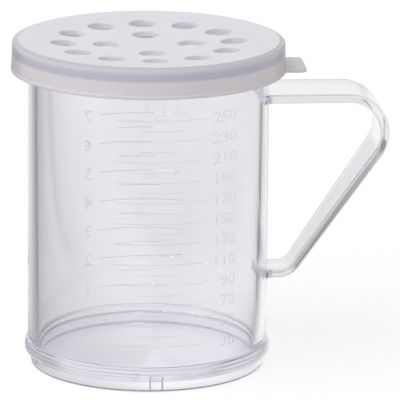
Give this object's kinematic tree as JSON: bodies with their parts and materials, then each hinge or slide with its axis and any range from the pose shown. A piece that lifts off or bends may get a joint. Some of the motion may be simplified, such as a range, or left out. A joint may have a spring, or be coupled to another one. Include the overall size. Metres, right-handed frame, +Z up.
{
  "type": "spice shaker",
  "caption": "Clear handled jar with a press-on lid of round shaker holes, for spices and other dry seasonings.",
  "frame": {"origin": "middle of the outline on the table; the jar's axis stands at x = -0.0147", "axes": "+Z up along the jar's axis, +X towards the handle, +Y to the left of someone who looks along +X"},
  "size_m": [0.1094, 0.0798, 0.0965],
  "materials": {
    "clear_plastic": "clear, smooth moulded polycarbonate with a faint violet cast",
    "lid_plastic": "translucent, softly glossy natural polypropylene"
  },
  "bodies": {
    "jar": {"jar": "clear_plastic"},
    "lid": {"lid": "lid_plastic"}
  },
  "joints": [
    {"name": "lid_lift", "type": "slide", "parent": "jar", "child": "lid", "axis": [0, 0, 1], "range_m": [0, 0.08]}
  ]
}
